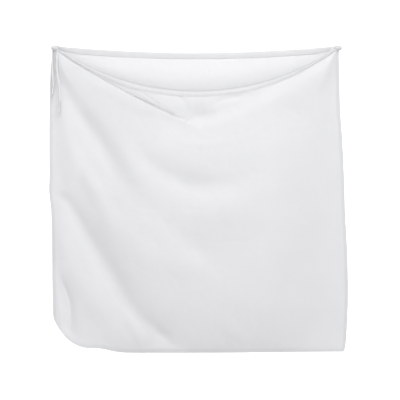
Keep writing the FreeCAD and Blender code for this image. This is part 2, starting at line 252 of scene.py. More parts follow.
def cloth_material(name, colour, shade, pitch, crinkle, holes=0.35):
    """Fine knitted mesh: rows of small openings, with slight crinkles and uneven whiteness.
    pitch and crinkle are in metres, and holes is how much the openings show. The point
    attribute seam marks where the cloth is doubled at the edges, a little darker there: the
    doubled cloth, and painted shade at the edges. A second point attribute darkens cloth gathered
    thick, and paints shade on the front casing's top fold, where the light falls on it."""
    n = Nodes(name)
    uv = n.add("ShaderNodeUVMap").outputs["UV"]
    split = n.add("ShaderNodeSeparateXYZ", Vector=uv)
    across = n.math("MULTIPLY", split.outputs["X"], TURN / pitch)
    along = n.math("MULTIPLY", split.outputs["Y"], TURN / (pitch * 1.5))
    columns = n.math("SINE", across)
    rows = n.math("SINE", along)
    knit = n.math("MULTIPLY", columns, rows)
    wales = n.math("ABSOLUTE", n.math("SINE", n.math("MULTIPLY", across, 0.5)))
    opening = n.math("MAXIMUM", n.math("MULTIPLY_ADD", knit, 1.6, -0.5), 0.0)
    patches = n.noise(uv, PATCHES, 4.0, 0.6)
    cloudy = n.math("MULTIPLY_ADD", patches, 0.5, -0.05)
    plain = n.mix(cloudy, rgba(colour), rgba(shade))
    holed = n.mix(n.math("MULTIPLY", opening, holes), plain, rgba([c * 0.80 for c in shade]))
    # The seam band is a little darker: the doubled cloth, and painted shade at the edges.
    seam = n.add("ShaderNodeAttribute")
    seam.attribute_name = "seam"
    doubled = n.mix(seam.outputs["Fac"], holed, rgba([c * 0.985 for c in shade]))
    # Painted shade: darker along the front casing's lit top fold; elsewhere this darkens cloth
    # gathered thick.
    thick_and_painted_shade = n.add("ShaderNodeAttribute")
    thick_and_painted_shade.attribute_name = "thick_and_painted_shade"
    thick = n.math("MULTIPLY", thick_and_painted_shade.outputs["Fac"], 0.75)
    tone = n.mix(thick, doubled, rgba([c * 0.74 for c in shade]))
    n.set("Base Color", tone)
    fibres = n.noise(uv, FIBRES, 2.0)
    n.set("Roughness", n.math("MULTIPLY_ADD", fibres, 0.16, 0.74))
    creases = n.noise(uv, CRINKLES, 5.0, 0.62)
    wide = n.bump(creases, crinkle)
    fine = n.bump(n.math("MULTIPLY_ADD", wales, 0.5, n.math("MULTIPLY", opening, -1.0)),
                  KNIT_RELIEF, 0.7, wide)
    n.set("Normal", fine)
    n.shader.inputs["Sheen Weight"].default_value = 0.12
    n.shader.inputs["Sheen Roughness"].default_value = 0.6
    n.shader.inputs["Specular IOR Level"].default_value = 0.25
    through_cloth = n.add("ShaderNodeBsdfTranslucent", Color=tone)
    both = n.add("ShaderNodeMixShader", Fac=TRANSLUCENCY)
    n.tree.links.new(n.shader.outputs["BSDF"], both.inputs[1])
    n.tree.links.new(through_cloth.outputs["BSDF"], both.inputs[2])
    n.tree.links.new(both.outputs["Shader"], n.tree.nodes["Material Output"].inputs["Surface"])
    return n.material


def thread_material(name, colour, shade, twist):
    """Twisted yarn: fine slanting plies along the thread. Its UVs run along, in metres, and
    around, in turns. twist is the plies' pitch in metres."""
    n = Nodes(name)
    uv = n.add("ShaderNodeUVMap").outputs["UV"]
    split = n.add("ShaderNodeSeparateXYZ", Vector=uv)
    along = n.math("MULTIPLY", split.outputs["X"], TURN / twist)
    plies = n.math("SINE", n.math("MULTIPLY_ADD", split.outputs["Y"], TURN, along))
    # Painted shade: the grooves between the plies are darker, following their relief; the fuzz is
    # uneven whiteness.
    lighter = n.math("MULTIPLY_ADD", plies, 0.35, 0.5)
    fuzz = n.noise(uv, 1800.0, 3.0)
    tone = n.mix(n.math("MULTIPLY", lighter, fuzz), rgba(shade), rgba(colour))
    n.set("Base Color", tone)
    n.set("Roughness", n.math("MULTIPLY_ADD", fuzz, 0.2, 0.5))
    n.set("Normal", n.bump(plies, 0.00006, 0.8))
    n.shader.inputs["Sheen Weight"].default_value = 0.1
    return n.material


def cord_material(name, colour, shade):
    """Soft braided cord: two sets of crossing strands. Its UVs run along, in metres, and
    around, in turns."""
    n = Nodes(name)
    uv = n.add("ShaderNodeUVMap").outputs["UV"]
    split = n.add("ShaderNodeSeparateXYZ", Vector=uv)
    along = n.math("MULTIPLY", split.outputs["X"], TURN / (BRAID_PITCH * MM))
    around = n.math("MULTIPLY", split.outputs["Y"], TURN * 4)
    over = n.math("SINE", n.math("ADD", along, around))
    under = n.math("SINE", n.math("SUBTRACT", along, around))
    braid = n.math("MAXIMUM", over, under)
    fuzz = n.noise(uv, 1500.0, 3.0)
    # Painted shade: the braid's relief colours it, darker in the grooves between the strands and
    # lighter on the crossings; the fuzz is uneven whiteness.
    tone = n.math("MULTIPLY_ADD", braid, 0.4, n.math("MULTIPLY", fuzz, 0.4))
    n.set("Base Color", n.mix(tone, rgba(shade), rgba(colour)))
    n.set("Roughness", n.math("MULTIPLY_ADD", fuzz, 0.15, 0.75))
    n.set("Normal", n.bump(braid, 0.00018, 0.9))
    n.shader.inputs["Sheen Weight"].default_value = 0.2
    return n.material


MESH_CLOTH = cloth_material(
    "mesh_cloth", (0.88, 0.882, 0.892), (0.82, 0.824, 0.842), 0.0013, 0.0006
)
HEM_CLOTH = cloth_material(
    "hem_cloth", (0.885, 0.887, 0.895), (0.82, 0.824, 0.84), 0.0013, 0.0006, 0.22
)
THREAD = thread_material("sewing_thread", (0.90, 0.90, 0.91), (0.66, 0.67, 0.69), 0.0009)
CORD = cord_material("drawstring", (0.80, 0.80, 0.805), (0.60, 0.60, 0.61))


# ------ the bag's outline

LEFT_EDGE = [(6, -2), (-2, -3), (-22, -5), (-58, -8), (-147, -10), (-257, -10), (-287, -11),
             (-330, -6.5), (-406, -5), (-486, -4), (-545, -3), (-612, -3)]
RIGHT_EDGE = [(6, 570), (-2, 570), (-38, 571), (-121, 573), (-181, 577), (-263, 581),
              (-332, 583), (-406, 587), (-492, 589), (-560, 586.5), (-587, 585), (-612, 581)]
BOTTOM_EDGE = [(-14, -520), (-4, -533), (-1, -546), (11, -566), (30, -588), (58, -601.5),
               (94, -604), (125, -610.5), (160, -612.5), (300, -612.5), (460, -611), (600, -610)]
# Outside these two lines the cloth's columns follow its slanting edges.
STRIP_LEFT = 60.0
STRIP_RIGHT = 510.0
# Roughly where the two edges are, in X.
ABOUT_LEFT = -3
ABOUT_RIGHT = 583


def left_x(z):
    return through(LEFT_EDGE[::-1], z)


def right_x(z):
    return through(RIGHT_EDGE[::-1], z)


def bottom_z(x):
    return through(BOTTOM_EDGE, x)


def hem_drop(x, radius, sag, below=0.0):
    """How far under the corners the hem's arc hangs at x, in its own plane."""
    reach = (radius + below) ** 2 - (np.clip(x, 0, SPAN) - CENTRE_X) ** 2
    return np.sqrt(reach) - (radius - sag)


def casing_depth(x, front=True):
    """How far down the hem's casing reaches from its fold. It gathers up towards the corners."""
    inside = np.minimum(x, SPAN - np.asarray(x))
    if front:
        return CASING_DEPTH * (0.32 + 0.68 * smoothstep(0, 190, inside))
    return CASING_DEPTH * (0.6 + 0.4 * smoothstep(0, 60, inside))


def rim_z(x, below=0.0):
    """Height of the tilted front hem, or of a line that far below its top edge."""
    drop = hem_drop(x, FRONT_RADIUS, FRONT_SAG, below)
    return -drop * math.cos(FRONT_TILT) + FRONT_OFFSET * math.sin(FRONT_TILT)


def rim_depth(x, below=0.0):
    """How far forward that line stands."""
    drop = hem_drop(x, FRONT_RADIUS, FRONT_SAG, below)
    return drop * math.sin(FRONT_TILT) + FRONT_OFFSET * math.cos(FRONT_TILT)


# ------ the front cloth's shape

# The cowl's crest: the line along which the cloth below the mouth folds forward.
CREST_LEFT = [(-10, 2), (12, -9), (50, -36), (92, -64), (131, -86), (171, -107), (231, -136),
              (266, -151)]
CREST_RIGHT = [(266, -152), (291, -150), (320, -145), (363, -131), (406, -111), (450, -89),
               (490, -69), (529, -45), (569, -8), (600, 4)]
# How wide the crest's forward step is at each x: sharp on the left, soft on the right.
CREST_WIDTH = [(-10, 3), (60, 3), (180, 3.4), (256, 5), (276, 14), (300, 26), (370, 32), (476, 32),
               (540, 16), (600, 6)]
# How deep the hollow between hem and crest is, against the hem.
POCKET = [(-10, 0), (40, 0), (120, 0.5), (200, 2), (263, 3.5), (320, 2), (420, 0), (520, -1),
          (600, 0)]
# How far the lip below the crest stands forward.
LIP = [(-10, 1), (60, 1), (200, 1.5), (262, 2), (330, 2.5), (430, 2), (600, 1)]
# Above the crest the cloth turns in, from this line down. TUCK is how far.
TURN_IN = [(-10, 6), (50, -30), (110, -58), (151, -76.6), (163, -85.6), (183, -98.5), (210, -116),
           (234, -131.7), (261, -147), (290, -146), (600, 10)]
TUCK = [(-10, 0), (60, 0.3), (110, 1), (151, 3.0), (200, 4.0), (240, 3.0), (264, 1.4), (270, 0),
        (600, 0)]
# How far a narrow pinch right above the crest goes in.
PINCH = [(-10, 0), (20, 1), (60, 1.8), (180, 1.7), (215, 1.0), (250, 0.5), (270, 0), (600, 0)]
# The belly's depth at each height along the bag's middle.
BELLY = [(-640, -22), (-612, 0), (-580, 17), (-520, 35), (-460, 43), (-400, 47.5), (-320, 50),
         (-220, 45), (-165, 38), (-120, 31), (-60, 26), (0, 22), (20, 21)]

# Grooves (positive) and ridges (negative): points along each, then the depth at its start, at
# its middle and at its end, and the same for its width.
FOLDS = [
    # long grooves that fan out from the left corner
    ([(14, -62), (30, -96), (50, -132), (86, -182), (121, -236), (152, -280), (184, -306)],
     (4, 9, 2), (8, 15, 17)),
    ([(147, -184), (174, -216), (211, -248), (253, -269), (296, -281), (333, -281), (370, -269),
      (412, -246)], (1, 7.5, 3), (12, 16, 20)),
    ([(160, -300), (221, -349), (264, -381), (301, -413), (344, -439), (400, -456)],
     (2, 5, 1), (16, 19, 22)),
    ([(0, -299), (25, -307), (41, -333), (62, -370), (89, -413), (115, -455), (137, -497),
      (168, -540), (206, -568), (240, -588)], (4, 12, 6), (7, 18, 15)),
    ([(-6, -430), (10, -468), (22, -498), (28, -524), (30, -556), (38, -584)],
     (3, 9, 5), (6, 9, 9)),
    # the broad hollow beside the last long groove
    ([(114, -425), (142, -480), (182, -540), (236, -590)], (3, 7, 6), (26, 34, 30)),
    # ridges between the grooves
    ([(20, -180), (31, -225), (34, -270), (26, -296)], (-1, -3.5, -1), (9, 12, 9)),
    ([(12, -96), (22, -163), (52, -237), (84, -290), (115, -349), (158, -397), (222, -439)],
     (-1, -6, -2), (10, 13, 18)),
    # a short ridge, a groove and a ridge by the bottom seam, where the cloth bunches
    ([(128, -512), (152, -545), (170, -575), (176, -604)], (-1, -4, -2), (9, 9, 7)),
    ([(196, -556), (216, -574), (240, -592)], (2, 4.5, 2), (7, 8, 8)),
    ([(330, -520), (352, -560), (380, -590)], (0, -2.5, -1), (9, 10, 8)),
    # more ridges, long and low, and one up the left edge
    ([(131, -163), (150, -230), (182, -284), (232, -326)], (0, -4, 0), (14, 18, 20)),
    ([(0, -330), (8, -376), (30, -424), (54, -474), (98, -528), (134, -584)],
     (-2, -5, -2), (9, 15, 14)),
    ([(6, -480), (14, -525), (12, -572)], (-1, -3.5, -1), (6, 8, 7)),
    ([(190, -182), (260, -208), (330, -210), (400, -186)], (-1, -3, -1), (20, 26, 24)),
    ([(205, -392), (285, -446), (360, -492)], (0, -4, 0), (20, 26, 30)),
    ([(270, -322), (350, -322), (430, -292)], (-2, -6, -1), (20, 26, 28)),
    # shallow creases in the hollow under the hem
    ([(222, -92), (241, -95), (253, -102), (262, -114), (268, -128)], (1, 1.5, 0.3), (2, 2.2, 4)),
    ([(151, -77), (183, -98), (210, -116), (234, -132), (258, -147)], (0.6, 1.3, 0.8), (2, 2, 2)),
    ([(318, -118), (336, -108), (375, -101), (404, -98)], (1, 1.8, 0.3), (4, 3.5, 3)),
    ([(268, -136), (296, -141), (326, -135)], (1, 6, 1), (9, 13, 9)),
    # the faint line a hand's breadth below the crest, and packing creases
    ([(227, -186), (285, -197), (344, -191), (396, -175), (450, -143)],
     (-0.2, -0.9, -0.2), (4, 5, 4)),
    ([(130, -322), (240, -325), (330, -323), (420, -324)], (0.1, 0.3, 0.1), (3, 3, 3)),
    ([(300, -388), (420, -386)], (0.2, 0.5, 0.2), (3, 3, 3)),
]


def fold_depth(x, z, points, depths, widths):
    """How far a groove or a ridge moves each point of the cloth back or forward."""
    line = spline_through(points, 6)
    share = np.linspace(0, 1, len(line))
    deep = np.interp(share, (0, 0.5, 1), depths)
    wide = np.interp(share, (0, 0.5, 1), widths)
    deep = deep * np.sin(np.pi * np.clip(share, 0.02, 0.98)) ** 0.35
    place = np.stack([x.ravel(), z.ravel()], 1)
    gap = np.full(len(place), np.inf)
    deep_there = np.zeros(len(place))
    wide_there = np.ones(len(place))
    for i, (start, end) in enumerate(zip(line, line[1:])):
        run = end - start
        t = np.clip((place - start) @ run / (run @ run), 0, 1)
        away = ((place - start - t[:, None] * run) ** 2).sum(1)
        closer = away < gap
        gap[closer] = away[closer]
        deep_there[closer] = (deep[i] + (deep[i + 1] - deep[i]) * t)[closer]
        wide_there[closer] = (wide[i] + (wide[i + 1] - wide[i]) * t)[closer]
    moved = deep_there * np.exp(-gap / (2 * wide_there ** 2))
    return moved.reshape(x.shape)


# The belly's crown is nothing until it passes this height, so the cloth lies flat at its sides.
CROWN_EDGE = 0.02


def front_depth(x, z):
    """Depth of the front cloth's face at every point of a grid, before its ripples: the hollow
    under the hem, then the belly and its lip below the crest, less the folds."""
    left = left_x(z)
    right = right_x(z)
    share = np.clip((x - left) / (right - left), 0, 1)
    left_reach = 0.42 - 0.07 * smoothstep(230, 450, -z)
    crown = smoothstep(-0.03, left_reach, share) * (1 - smoothstep(0.71, 1.03, share))
    crown = np.clip((crown - CROWN_EDGE) / (1 - CROWN_EDGE), 0, 1)
    belly = through(BELLY, z) * crown
    crest = np.where(x < CREST_LEFT[-1][0], through(CREST_LEFT, x), through(CREST_RIGHT, x))
    rim = rim_z(x, casing_depth(x))
    crest = np.minimum(crest, rim - 3.0)
    width = through(CREST_WIDTH, x)
    soft_crest = through(CREST_LEFT[:-2] + CREST_RIGHT[2:], x)
    lip_width = 14 + 26 * smoothstep(250, 330, x)
    lip = np.exp(-(((soft_crest - z) - 12) / lip_width) ** 2) * smoothstep(0, 90, x)
    lip *= through(LIP, x)
    folds = np.zeros_like(x)
    for points, depths, widths in FOLDS:
        folds += fold_depth(x, z, points, depths, widths)
    hem = rim_depth(x, casing_depth(x))
    gap = np.maximum(rim - crest, 1)
    hollow = hem - 1.0 - through(POCKET, x) * smoothstep(0, 1, (rim - z) / gap)
    forward = smoothstep(-width / 2, width / 2, crest - z)
    turn = np.maximum(through(TURN_IN, x), crest + 1.0)
    tuck = through(TUCK, x) * np.clip((turn - z) / np.maximum(turn - crest, 1), 0, 1) ** 1.2
    tuck += through(PINCH, x) * (1 - smoothstep(0, 5, z - crest))
    from_side = np.minimum(x - left, right - x)
    hang = (hem + 1.5) * np.exp(-(np.clip(crest - z, 0, None) / 170) ** 1.6)
    hang *= smoothstep(-4, 18 + 28 * smoothstep(-14, -90, z), from_side)
    soft = 5 * smoothstep(0, 40, from_side)
    belly = 0.5 * (belly + hang + np.sqrt((belly - hang) ** 2 + soft ** 2)) - 0.3 * soft
    edge = smoothstep(0, 26, (x - left)) * smoothstep(0, 26, (right - x))
    edge *= smoothstep(0, 22, z - bottom_z(x))
    return (hollow - tuck) * (1 - forward) + (belly + lip) * forward - folds * edge


# ------ cloth pieces


def cloth_grid(top, strips=(28, 226, 28), rows=256, near_top=0.35):
    """X and Z of a grid over a panel: columns from edge to edge, and rows from its top edge,
    given as a function of x, down to the bottom seam, closer together near the top."""
    outer = np.linspace(0, 1, strips[0], endpoint=False)
    middle = np.linspace(STRIP_LEFT, STRIP_RIGHT, strips[1])
    share = np.linspace(0, 1, rows)
    share = near_top * share + (1 - near_top) * share ** 2
    columns = strips[0] + strips[1] + strips[2]
    x = np.zeros((rows, columns))
    z = np.zeros((rows, columns))
    guess = np.concatenate([
        ABOUT_LEFT + (STRIP_LEFT - ABOUT_LEFT) * outer,
        middle,
        ABOUT_RIGHT - (ABOUT_RIGHT - STRIP_RIGHT) * outer[::-1],
    ])
    for c in range(columns):
        start = top(guess[c])
        end = bottom_z(guess[c])
        z[:, c] = start + (end - start) * share
        low = left_x(z[:, c])
        high = right_x(z[:, c])
        if c < strips[0]:
            x[:, c] = low + (STRIP_LEFT - low) * outer[c]
        elif c < strips[0] + strips[1]:
            x[:, c] = middle[c - strips[0]]
        else:
            back = outer[::-1][c - strips[0] - strips[1]]
            x[:, c] = high - (high - STRIP_RIGHT) * back
    return x, z


def doubled_seam_and_edge_shade(x, z):
    """1 on the doubled cloth along the sides and the bottom, 0 elsewhere. The material makes this
    band a little darker: the doubled cloth, and painted shade at the edges.
    """
    inside = np.minimum(np.minimum(x - left_x(z), right_x(z) - x), z - bottom_z(x))
    return (1 - smoothstep(6.5, 7.8, inside)) * smoothstep(0.3, 1.5, inside)


def cloth_piece(name, outer, x, z):
    """A closed sheet of cloth from a grid of its outer face. x and z are its flat places."""
    rows, columns = x.shape
    count = rows * columns
    face = outer.reshape(-1, 3)
    normal = grid_normals(outer).reshape(-1, 3)
    points = np.vstack([face, face - normal * CLOTH])
    faces = grid_faces(rows, columns, flip=True)
    faces += grid_faces(rows, columns, count)
    around = (
        list(range(columns))
        + [r * columns + columns - 1 for r in range(1, rows)]
        + [(rows - 1) * columns + c for c in range(columns - 2, -1, -1)]
        + [r * columns for r in range(rows - 2, 0, -1)]
    )
    for a, b in zip(around, around[1:] + around[:1]):
        faces.append((a, b, b + count, a + count))
    flat = np.stack([x, z], 2) * MM
    piece = make_piece(name, points, faces, np.vstack([flat, flat]))
    mark(piece, "seam", np.tile(doubled_seam_and_edge_shade(x, z).ravel(), 2))
    both = np.vstack([normal, -normal])
    piece.data.normals_split_custom_set_from_vertices(both.tolist())
    return piece


# The mouth's widest opening, the steepest angle from straight down that the hem may then hold,
# and the height of the bottom seam that the cloth hangs to.
OPENING = math.radians(60)
STEEPEST = math.radians(85)
BAG_FOOT = -606.0


def hanging_share(x, depth, z):
    """How far each point of the front cloth follows the opening hem, from 0 to 1. Opened wide,
    the cloth hangs straight from the hem to the bottom seam. A point keeps its distance from
    the hinge, so it goes to where that distance meets the straight line."""
    lower = casing_depth(x) - 1.0
    hem_z = rim_z(x, lower)
    hem_depth = rim_depth(x, lower)
    hem_reach = np.hypot(hem_depth, hem_z)
    hem_angle = np.minimum(np.arctan2(hem_depth, -hem_z) + OPENING, STEEPEST)
    open_depth = hem_reach * np.sin(hem_angle)
    open_z = -hem_reach * np.cos(hem_angle)
    reach = np.hypot(depth, z)
    fall = BAG_FOOT - open_z
    # A quadratic equation gives how far along the line the point is.
    square = open_depth ** 2 + fall ** 2
    half_linear = open_z * fall - open_depth ** 2
    constant = hem_reach ** 2 - reach ** 2
    root = np.sqrt(np.maximum(half_linear ** 2 - square * constant, 0))
    along = np.clip((-half_linear + root) / square, 0, 1)
    sine = open_depth * (1 - along) / np.maximum(reach, hem_reach)
    hung_angle = np.arcsin(np.clip(sine, 0, 1))
    share = (hung_angle - np.arctan2(depth, -z)) / OPENING
    # Cloth at the hem follows it fully, and the share leaves 0 softly lower down.
    share = 1 + (share - 1) * smoothstep(-1, 3, reach - hem_reach)
    soft = 0.03 * smoothstep(0, 30, reach - hem_reach)
    share = 0.5 * (share + np.sqrt(share ** 2 + soft ** 2)) - 0.25 * soft
    from_side = np.minimum(x - left_x(z), right_x(z) - x)
    return np.clip(share, 0, 1) * smoothstep(3, 24, from_side)


def follow_mouth(piece, share):
    home = np.zeros(len(piece.data.vertices) * 3)
    piece.data.vertices.foreach_get("co", home)
    line = np.zeros((len(piece.data.vertices), 3))
    line[:, 2] = 0.5 - np.sin(np.arcsin(1 - 2 * share) / 3)
    piece.data.vertices.foreach_set("co", line.ravel())
    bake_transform(piece)
    piece.data.vertices.foreach_set("co", home)
    piece.data.update()


def crumple(x, z):
    """Slight unevenness all over the cloth: crossing ripples of many lengths."""
    rng = np.random.default_rng(17)
    height = np.zeros_like(x)
    for length in np.geomspace(15, 140, 26):
        angle = rng.uniform(0, math.pi)
        phase = rng.uniform(0, TURN)
        bend = 0.8 * np.sin(TURN * (x * math.sin(angle) - z * math.cos(angle)) / (2.7 * length)
                            + phase * 3)
        along = x * math.cos(angle) + z * math.sin(angle)
        height += 0.0011 * length * np.sin(TURN * along / length + phase + bend)
    return height


def front_top(x):
    """The front cloth's top edge, just inside the casing and under the bunched corners."""
    return float(rim_z(x, 0.86 * casing_depth(x)) + 5 * (1 - smoothstep(2, 16, min(x, SPAN - x))))


def build_front():
    """The front cloth with its belly, folds and ripples."""
    x, z = cloth_grid(front_top)
    depth = front_depth(x, z)
    ripple = 0.35 * waves(5, z - 0.4 * x, 7, 60) * (1 - smoothstep(4, 16, x - left_x(z)))
    ripple += 0.3 * waves(6, z, 8, 70) * (1 - smoothstep(4, 16, right_x(z) - x))
    inside = smoothstep(2, 30, x - left_x(z)) * smoothstep(2, 30, right_x(z) - x)
    ripple += crumple(x, z) * inside * smoothstep(0, 14, rim_z(x, casing_depth(x)) - z)
    outer = np.stack([x, -(depth + ripple + 1.7), z], 2)
    piece = cloth_piece("front_cloth", outer, x, z)
    finish_piece(piece, None, "mesh_cloth", MESH_CLOTH, "front_panel")
    follow_mouth(piece, np.tile(hanging_share(x, -outer[..., 1], z).ravel(), 2))


def hem_gap(x, z):
    """How far a point is above the back hem's top edge: negative below it."""
    return z + hem_drop(x, BACK_RADIUS, BACK_SAG) - BACK_LIFT


def back_top(x):
    """The back cloth's top edge, just under the top of its casing."""
    return float(BACK_LIFT - 1.0 - hem_drop(x, BACK_RADIUS, BACK_SAG))


def build_back():
    """The back cloth hangs nearly flat, with slight vertical and slanting waves."""
    x, z = cloth_grid(back_top, strips=(16, 150, 16), rows=180, near_top=0.6)
    down = smoothstep(40, 260, -z)
    wave = 1.6 + np.sin(x / 44 + z / 230) + 0.6 * np.sin(x / 29 - z / 130 + 1.3)
    slant = 1.6 * np.exp(-((x - 70 + 0.42 * z) / 24) ** 2) * smoothstep(90, 300, -z)
    slant += 1.2 * np.exp(-((x - 520 - 0.3 * z) / 30) ** 2) * smoothstep(60, 240, -z)
    edge = smoothstep(0, 50, x - left_x(z)) * smoothstep(0, 50, right_x(z) - x)
    edge *= smoothstep(0, 60, z - bottom_z(x))
    behind = (wave * 0.6 * down + slant + 0.7 * np.abs(crumple(x, z)) * down) * edge
    sag = 0.35 * waves(9, x + 0.2 * z, 11, 90) * (1 - smoothstep(8, 40, -hem_gap(x, z)))
    outer = np.stack([x, CLOTH + behind + np.abs(sag) * 0.5, z], 2)
    # The columns run the other way, so that the outer face looks backwards.
    piece = cloth_piece("back_cloth", outer[:, ::-1], x[:, ::-1], z[:, ::-1])
    finish_piece(piece, "bag", "mesh_cloth", MESH_CLOTH, "back_panel")


# ------ hems


def hem_arc(front, inset):
    """A hem's radius, and half the angle of its arc between two points inset from its ends."""
    radius = FRONT_RADIUS if front else BACK_RADIUS
    return radius, math.asin((CENTRE_X - inset) / radius)


def hem_point(front, angle, radius, outward):
    """A point of a hem: angle from straight down, radius from the arc's centre and distance
    in front of the hem's plane."""
    base = FRONT_RADIUS if front else BACK_RADIUS
    sag = FRONT_SAG if front else BACK_SAG
    along = radius * np.sin(angle)
    drop = radius * np.cos(angle) - (base - sag)
    along, drop, outward = np.broadcast_arrays(along, drop, outward)
    if not front:
        return np.stack([CENTRE_X + along, -outward, BACK_LIFT - drop], -1)
    out = outward + FRONT_OFFSET
    y = -out * math.cos(FRONT_TILT) - drop * math.sin(FRONT_TILT)
    z = out * math.sin(FRONT_TILT) - drop * math.cos(FRONT_TILT)
    return np.stack([CENTRE_X + along, y, z], -1)


# The front casing's section, from its top fold round the front face and back up: how far down,
# and how far forward. The drawstring fills its upper half, and the stitching pinches it below.
CASING_SECTION = [(0.0, 1.7), (0.6, 2.5), (2.0, 3.2), (4.2, 3.6), (6.5, 3.6), (8.6, 3.1),
                  (10.3, 2.4), (11.2, 1.9), (11.9, 1.7), (12.6, 1.6), (13.0, 1.1),
                  (12.7, 0.4), (11.6, 0.2), (9.5, 0.1), (6.0, 0.05), (2.5, 0.2), (0.6, 0.8)]

# The back hem is folded towards the outside, so its inner face is nearly flat.
BACK_CASING_SECTION = [(0.0, -0.5), (0.4, 0.1), (1.8, 0.5), (4.0, 0.65), (6.5, 0.65), (8.6, 0.55),
                       (10.3, 0.42), (11.2, 0.34), (11.9, 0.26), (12.6, 0.16), (13.0, 0.04),
                       (12.7, -0.8), (11.6, -1.0), (9.5, -2.2), (6.0, -2.9), (2.5, -2.3),
                       (0.6, -1.2)]


def build_casing(name, front, node, body):
    """A hem folded over into a tunnel, which swells over the drawstring, puckers at its
    stitches and leans in and out along its length."""
    radius, half = hem_arc(front, 7)
    rows = 620
    angle = np.linspace(-half, half, rows)
    length = angle * radius
    shape = CASING_SECTION if front else BACK_CASING_SECTION
    section = spline_through(shape + shape[:1], 3)[:-1]
    columns = len(section)
    taper = casing_depth(CENTRE_X + radius * np.sin(angle), front) / CASING_DEPTH
    down = section[None, :, 0] * taper[:, None]
    out = section[None, :, 1] * np.ones((rows, 1))
    face = np.exp(-((section[:, 0] - 8.0) / 3.2) ** 2) * (section[:, 1] > 1.0)
    pucker = waves(21 if front else 22, length, 3.5, 16)[:, None] * face[None]
    pucker *= 0.4 if front else 0.15
    lean = waves(31 if front else 32, length, 14, 90)[:, None] * 0.35
    out = out + pucker
    down = down + lean * smoothstep(3, 12, section[None, :, 0]) * 0.6
    points = hem_point(front, angle[:, None], radius + down, out)
    uvs = ring_uvs(length[:, None], np.linspace(0, 30, columns)[None] * MM)
    piece = make_piece(name, points, tube_faces(rows, columns), uvs)
    # Painted shade along the front casing's top fold, which the light from above falls on; the
    # back hem is a little darker all over.
    thick_and_painted_shade = np.exp(-(section[:, 0] / 4.6) ** 4) if front else np.full(columns, 0.06)
    mark(piece, "thick_and_painted_shade", np.tile(thick_and_painted_shade, rows))
    return finish_piece(piece, body, "hem_cloth", HEM_CLOTH, node)


def build_run(name, front, node, body):
    """The drawstring inside a casing, pressed a little flat."""
    radius, half = hem_arc(front, 12)
    angle = np.linspace(-half, half, 500)
    depth = casing_depth(CENTRE_X + radius * np.sin(angle), front)
    middle, thick = (1.75, 1.15) if front else (-1.15, 1.1)
    ring = np.linspace(0, TURN, 14, endpoint=False)
    along = angle[:, None] * radius
    braid = 1 + 0.05 * np.maximum(np.sin(TURN * along / BRAID_PITCH + 4 * ring),
                                  np.sin(TURN * along / BRAID_PITCH - 4 * ring))
    tall = np.minimum(1.8, 0.3 * depth)[:, None] * braid * np.sin(ring)
    out = middle + thick * braid * np.cos(ring)
    points = hem_point(front, angle[:, None], radius + 0.46 * depth[:, None] + tall, out)
    uvs = ring_uvs(along, (ring / TURN)[None])
    piece = make_piece(name, points, tube_faces(*tall.shape), uvs)
    return finish_piece(piece, body, "drawstring", CORD, node)


def stitch_row(places, directions, normals, length, radius, lift):
    """Points and faces of a row of short stitches, each a small bead of thread that dips into
    the cloth at both ends."""
    points, faces, uvs = [], [], []
    sides, steps = 6, 7
    t = np.linspace(-1, 1, steps)
    ring = np.linspace(0, TURN, sides, endpoint=False)
    thin = np.sqrt(np.clip(1 - t ** 4, 0.03, 1)) * radius
    arch = (1 - t ** 2) * lift
    for place, direction, normal in zip(places, directions, normals):
        side = np.cross(direction, normal)
        middle = place + direction * (t * length / 2)[:, None] + normal * arch[:, None]
        loop = (np.cos(ring)[None, :, None] * side + np.sin(ring)[None, :, None] * normal)
        block = middle[:, None, :] + loop * thin[:, None, None]
        first = len(points) * sides * steps
        points.append(block.reshape(-1, 3))
        faces += tube_faces(steps, sides, first, flip=True)
        uvs.append(ring_uvs(t[:, None] * length / 2, (ring / TURN)[None]).reshape(-1, 2))
    return np.vstack(points), faces, np.vstack(uvs)


# Lockstitch: the pitch of its stitches, each stitch's length, the thread's radius and how far a
# stitch rises from the cloth. It crosses the casing at this share of its height.
STITCH_PITCH = 2.9
STITCH_LENGTH = 2.3
STITCH_RADIUS = 0.26
STITCH_LIFT = 0.12
STITCH_LINE = 0.885


def build_hem_stitching(name, front, node, body):
    """Lockstitch along the hem's lower edge, on both of its faces."""
    radius, half = hem_arc(front, 24 if front else 16)
    count = int(2 * half * radius / STITCH_PITCH)
    angle = (np.arange(count) - (count - 1) / 2) * STITCH_PITCH / radius
    at = radius + casing_depth(CENTRE_X + radius * np.sin(angle), front) * STITCH_LINE
    near_face, far_face = (1.85, 0.05) if front else (0.5, -1.05)
    sets = []
    for outward, sign in ((near_face, 1), (far_face, -1)):
        place = hem_point(front, angle, at, outward)
        ahead = hem_point(front, angle + 1e-4, at, outward) - place
        ahead /= np.linalg.norm(ahead, axis=1, keepdims=True)
        off = (hem_point(front, angle, at, outward + 1) - place) * sign
        sets.append(stitch_row(place, ahead, off, STITCH_LENGTH, STITCH_RADIUS, STITCH_LIFT))
    points = np.vstack([s[0] for s in sets])
    faces = sets[0][1] + [[i + len(sets[0][0]) for i in f] for f in sets[1][1]]
    uvs = np.vstack([s[2] for s in sets])
    piece = make_piece(name, points, faces, uvs)
    return finish_piece(piece, body, "sewing_thread", THREAD, node)


# ------ cords


def frames_along(line):
    """Unit tangents, and two unit normals that turn as little as they can."""
    tangent = np.gradient(line, axis=0)
    tangent /= np.linalg.norm(tangent, axis=1, keepdims=True)
    first = np.cross(tangent[0], (0.31, 0.9, 0.17))
    first /= np.linalg.norm(first)
    sides = [first]
    for t in tangent[1:]:
        side = sides[-1] - t * (sides[-1] @ t)
        sides.append(side / np.linalg.norm(side))
    sides = np.array(sides)
    return tangent, sides, np.cross(tangent, sides)


